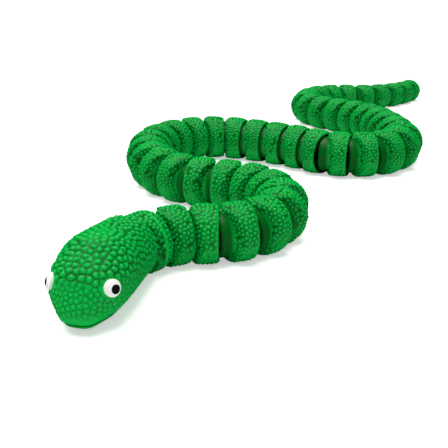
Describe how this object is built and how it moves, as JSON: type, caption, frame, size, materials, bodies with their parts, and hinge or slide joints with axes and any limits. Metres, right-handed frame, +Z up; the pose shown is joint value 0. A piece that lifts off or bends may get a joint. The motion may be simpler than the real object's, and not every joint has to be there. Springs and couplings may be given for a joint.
{
  "type": "articulated snake toy",
  "caption": "Green moulded snake toy of short bumpy barrel pieces hinged in a row, with a rounded head, round black and white eyes and a tapering tail; it bends sideways on the floor",
  "frame": {"origin": "on the floor under the head, in the middle of the head's flat underside", "axes": "+Z up; the three rows of the lay run across X and one behind another along +Y, with the snout towards -Y and a little towards -X and the tail tip at the far +Y end"},
  "size_m": [0.1947, 0.3457, 0.0252],
  "materials": {
    "green_plastic": "satin moulded soft plastic",
    "eye_white": "gloss",
    "eye_black": "gloss"
  },
  "bodies": {
    "head": {"head_top": "green_plastic", "jaw": "green_plastic", "eye_white_left": "eye_white", "eye_white_right": "eye_white", "pupil_left": "eye_black", "pupil_right": "eye_black"},
    "segment_01": {"segment_01": "green_plastic"},
    "segment_02": {"segment_02": "green_plastic"},
    "segment_03": {"segment_03": "green_plastic"},
    "segment_04": {"segment_04": "green_plastic"},
    "segment_05": {"segment_05": "green_plastic"},
    "segment_06": {"segment_06": "green_plastic"},
    "segment_07": {"segment_07": "green_plastic"},
    "segment_08": {"segment_08": "green_plastic"},
    "segment_09": {"segment_09": "green_plastic"},
    "segment_10": {"segment_10": "green_plastic"},
    "segment_11": {"segment_11": "green_plastic"},
    "segment_12": {"segment_12": "green_plastic"},
    "segment_13": {"segment_13": "green_plastic"},
    "segment_14": {"segment_14": "green_plastic"},
    "segment_15": {"segment_15": "green_plastic"},
    "segment_16": {"segment_16": "green_plastic"},
    "segment_17": {"segment_17": "green_plastic"},
    "segment_18": {"segment_18": "green_plastic"},
    "segment_19": {"segment_19": "green_plastic"},
    "segment_20": {"segment_20": "green_plastic"},
    "segment_21": {"segment_21": "green_plastic"},
    "segment_22": {"segment_22": "green_plastic"},
    "segment_23": {"segment_23": "green_plastic"},
    "segment_24": {"segment_24": "green_plastic"},
    "segment_25": {"segment_25": "green_plastic"},
    "segment_26": {"segment_26": "green_plastic"},
    "segment_27": {"segment_27": "green_plastic"},
    "segment_28": {"segment_28": "green_plastic"},
    "segment_29": {"segment_29": "green_plastic"},
    "segment_30": {"segment_30": "green_plastic"},
    "segment_31": {"segment_31": "green_plastic"},
    "segment_32": {"segment_32": "green_plastic"},
    "segment_33": {"segment_33": "green_plastic"},
    "segment_34": {"segment_34": "green_plastic"},
    "segment_35": {"segment_35": "green_plastic"},
    "segment_36": {"segment_36": "green_plastic"},
    "segment_37": {"segment_37": "green_plastic"},
    "segment_38": {"segment_38": "green_plastic"},
    "segment_39": {"segment_39": "green_plastic"},
    "segment_40": {"segment_40": "green_plastic"},
    "segment_41": {"segment_41": "green_plastic"},
    "segment_42": {"segment_42": "green_plastic"},
    "segment_43": {"segment_43": "green_plastic"},
    "segment_44": {"segment_44": "green_plastic"},
    "segment_45": {"segment_45": "green_plastic"},
    "segment_46": {"segment_46": "green_plastic"},
    "segment_47": {"segment_47": "green_plastic"},
    "tail_tip": {"tail_tip": "green_plastic"}
  },
  "joints": [
    {"name": "neck_hinge", "type": "hinge", "parent": "head", "child": "segment_01", "pos_m": [0.00532, 0.02135, 0.01], "axis": [0, 0, 1], "range_deg": [-1.2, 58.8]},
    {"name": "hinge_01", "type": "hinge", "parent": "segment_01", "child": "segment_02", "pos_m": [0.01348, 0.03015, 0.01], "axis": [0, 0, -1], "range_deg": [-49, 1]},
    {"name": "hinge_02", "type": "hinge", "parent": "segment_02", "child": "segment_03", "pos_m": [0.02451, 0.03488, 0.01], "axis": [0, 0, 1], "range_deg": [-1, 49]},
    {"name": "hinge_03", "type": "hinge", "parent": "segment_03", "child": "segment_04", "pos_m": [0.0365, 0.03471, 0.01], "axis": [0, 0, -1], "range_deg": [-6, 44]},
    {"name": "hinge_04", "type": "hinge", "parent": "segment_04", "child": "segment_05", "pos_m": [0.0479, 0.03846, 0.01], "axis": [0, 0, 1], "range_deg": [-49, 1]},
    {"name": "hinge_05", "type": "hinge", "parent": "segment_05", "child": "segment_06", "pos_m": [0.05679, 0.04652, 0.01], "axis": [0, 0, -1], "range_deg": [-1, 49]},
    {"name": "hinge_06", "type": "hinge", "parent": "segment_06", "child": "segment_07", "pos_m": [0.06164, 0.0575, 0.01], "axis": [0, 0, 1], "range_deg": [-49, 1]},
    {"name": "hinge_07", "type": "hinge", "parent": "segment_07", "child": "segment_08", "pos_m": [0.06159, 0.0695, 0.01], "axis": [0, 0, -1], "range_deg": [-1, 49]},
    {"name": "hinge_08", "type": "hinge", "parent": "segment_08", "child": "segment_09", "pos_m": [0.05667, 0.08044, 0.01], "axis": [0, 0, 1], "range_deg": [-49, 1]},
    {"name": "hinge_09", "type": "hinge", "parent": "segment_09", "child": "segment_10", "pos_m": [0.04773, 0.08844, 0.01], "axis": [0, 0, -1], "range_deg": [-1, 49]},
    {"name": "hinge_10", "type": "hinge", "parent": "segment_10", "child": "segment_11", "pos_m": [0.0363, 0.09211, 0.01], "axis": [0, 0, 1], "range_deg": [-22, 28]},
    {"name": "hinge_11", "type": "hinge", "parent": "segment_11", "child": "segment_12", "pos_m": [0.02509, 0.09637, 0.01], "axis": [0, 0, -1], "range_deg": [-41, 9]},
    {"name": "hinge_12", "type": "hinge", "parent": "segment_12", "child": "segment_13", "pos_m": [0.01548, 0.10356, 0.01], "axis": [0, 0, 1], "range_deg": [-9, 41]},
    {"name": "hinge_13", "type": "hinge", "parent": "segment_13", "child": "segment_14", "pos_m": [0.00822, 0.11312, 0.01], "axis": [0, 0, -1], "range_deg": [-41, 9]},
    {"name": "hinge_14", "type": "hinge", "parent": "segment_14", "child": "segment_15", "pos_m": [0.00388, 0.12431, 0.01], "axis": [0, 0, 1], "range_deg": [-14, 36]},
    {"name": "hinge_15", "type": "hinge", "parent": "segment_15", "child": "segment_16", "pos_m": [0.00176, 0.13612, 0.01], "axis": [0, 0, -1], "range_deg": [-36, 14]},
    {"name": "hinge_16", "type": "hinge", "parent": "segment_16", "child": "segment_17", "pos_m": [0.00192, 0.14812, 0.01], "axis": [0, 0, 1], "range_deg": [-3, 47]},
    {"name": "hinge_17", "type": "hinge", "parent": "segment_17", "child": "segment_18", "pos_m": [0.00658, 0.15918, 0.01], "axis": [0, 0, -1], "range_deg": [-47, 3]},
    {"name": "hinge_18", "type": "hinge", "parent": "segment_18", "child": "segment_19", "pos_m": [0.01503, 0.16769, 0.01], "axis": [0, 0, 1], "range_deg": [-3, 47]},
    {"name": "hinge_19", "type": "hinge", "parent": "segment_19", "child": "segment_20", "pos_m": [0.02606, 0.17242, 0.01], "axis": [0, 0, -1], "range_deg": [-47, 3]},
    {"name": "hinge_20", "type": "hinge", "parent": "segment_20", "child": "segment_21", "pos_m": [0.03806, 0.17267, 0.01], "axis": [0, 0, 1], "range_deg": [-3, 47]},
    {"name": "hinge_21", "type": "hinge", "parent": "segment_21", "child": "segment_22", "pos_m": [0.04928, 0.16841, 0.01], "axis": [0, 0, -1], "range_deg": [-30.5, 19.5]},
    {"name": "hinge_22", "type": "hinge", "parent": "segment_22", "child": "segment_23", "pos_m": [0.06003, 0.16309, 0.01], "axis": [0, 0, 1], "range_deg": [-19.5, 30.5]},
    {"name": "hinge_23", "type": "hinge", "parent": "segment_23", "child": "segment_24", "pos_m": [0.07023, 0.15677, 0.01], "axis": [0, 0, -1], "range_deg": [-30.5, 19.5]},
    {"name": "hinge_24", "type": "hinge", "parent": "segment_24", "child": "segment_25", "pos_m": [0.07978, 0.1495, 0.01], "axis": [0, 0, 1], "range_deg": [-19.5, 30.5]},
    {"name": "hinge_25", "type": "hinge", "parent": "segment_25", "child": "segment_26", "pos_m": [0.08858, 0.14135, 0.01], "axis": [0, 0, -1], "range_deg": [-1, 49]},
    {"name": "hinge_26", "type": "hinge", "parent": "segment_26", "child": "segment_27", "pos_m": [0.09994, 0.13748, 0.01], "axis": [0, 0, 1], "range_deg": [-49, 1]},
    {"name": "hinge_27", "type": "hinge", "parent": "segment_27", "child": "segment_28", "pos_m": [0.11189, 0.13857, 0.01], "axis": [0, 0, -1], "range_deg": [-1, 49]},
    {"name": "hinge_28", "type": "hinge", "parent": "segment_28", "child": "segment_29", "pos_m": [0.12237, 0.14442, 0.01], "axis": [0, 0, 1], "range_deg": [-49, 1]},
    {"name": "hinge_29", "type": "hinge", "parent": "segment_29", "child": "segment_30", "pos_m": [0.12956, 0.15403, 0.01], "axis": [0, 0, -1], "range_deg": [-1, 49]},
    {"name": "hinge_30", "type": "hinge", "parent": "segment_30", "child": "segment_31", "pos_m": [0.13221, 0.16573, 0.01], "axis": [0, 0, 1], "range_deg": [-49, 1]},
    {"name": "hinge_31", "type": "hinge", "parent": "segment_31", "child": "segment_32", "pos_m": [0.12988, 0.1775, 0.01], "axis": [0, 0, -1], "range_deg": [-32, 18]},
    {"name": "hinge_32", "type": "hinge", "parent": "segment_32", "child": "segment_33", "pos_m": [0.12901, 0.18947, 0.01], "axis": [0, 0, 1], "range_deg": [-35.5, 14.5]},
    {"name": "hinge_33", "type": "hinge", "parent": "segment_33", "child": "segment_34", "pos_m": [0.12596, 0.20108, 0.01], "axis": [0, 0, -1], "range_deg": [-14.5, 35.5]},
    {"name": "hinge_34", "type": "hinge", "parent": "segment_34", "child": "segment_35", "pos_m": [0.12085, 0.21194, 0.01], "axis": [0, 0, 1], "range_deg": [-35.5, 14.5]},
    {"name": "hinge_35", "type": "hinge", "parent": "segment_35", "child": "segment_36", "pos_m": [0.11385, 0.22168, 0.01], "axis": [0, 0, -1], "range_deg": [-14.5, 35.5]},
    {"name": "hinge_36", "type": "hinge", "parent": "segment_36", "child": "segment_37", "pos_m": [0.10519, 0.22999, 0.01], "axis": [0, 0, 1], "range_deg": [-24, 26]},
    {"name": "hinge_37", "type": "hinge", "parent": "segment_37", "child": "segment_38", "pos_m": [0.09667, 0.23844, 0.01], "axis": [0, 0, -1], "range_deg": [-47, 3]},
    {"name": "hinge_38", "type": "hinge", "parent": "segment_38", "child": "segment_39", "pos_m": [0.09194, 0.24947, 0.01], "axis": [0, 0, 1], "range_deg": [-3, 47]},
    {"name": "hinge_39", "type": "hinge", "parent": "segment_39", "child": "segment_40", "pos_m": [0.09169, 0.26147, 0.01], "axis": [0, 0, -1], "range_deg": [-47, 3]},
    {"name": "hinge_40", "type": "hinge", "parent": "segment_40", "child": "segment_41", "pos_m": [0.09595, 0.27269, 0.01], "axis": [0, 0, 1], "range_deg": [-3, 47]},
    {"name": "hinge_41", "type": "hinge", "parent": "segment_41", "child": "segment_42", "pos_m": [0.10411, 0.28149, 0.01], "axis": [0, 0, -1], "range_deg": [-47, 3]},
    {"name": "hinge_42", "type": "hinge", "parent": "segment_42", "child": "segment_43", "pos_m": [0.11497, 0.2866, 0.01], "axis": [0, 0, 1], "range_deg": [-3, 47]},
    {"name": "hinge_43", "type": "hinge", "parent": "segment_43", "child": "segment_44", "pos_m": [0.12695, 0.28727, 0.01], "axis": [0, 0, -1], "range_deg": [-14.5, 35.5]},
    {"name": "hinge_44", "type": "hinge", "parent": "segment_44", "child": "segment_45", "pos_m": [0.13861, 0.29011, 0.01], "axis": [0, 0, 1], "range_deg": [-35.5, 14.5]},
    {"name": "hinge_45", "type": "hinge", "parent": "segment_45", "child": "segment_46", "pos_m": [0.14955, 0.29503, 0.01], "axis": [0, 0, -1], "range_deg": [-14.5, 35.5]},
    {"name": "hinge_46", "type": "hinge", "parent": "segment_46", "child": "segment_47", "pos_m": [0.15942, 0.30186, 0.01], "axis": [0, 0, 1], "range_deg": [-35.5, 14.5]},
    {"name": "hinge_47", "type": "hinge", "parent": "segment_47", "child": "tail_tip", "pos_m": [0.16787, 0.31038, 0.01], "axis": [0, 0, -1], "range_deg": [-14.5, 35.5]}
  ]
}
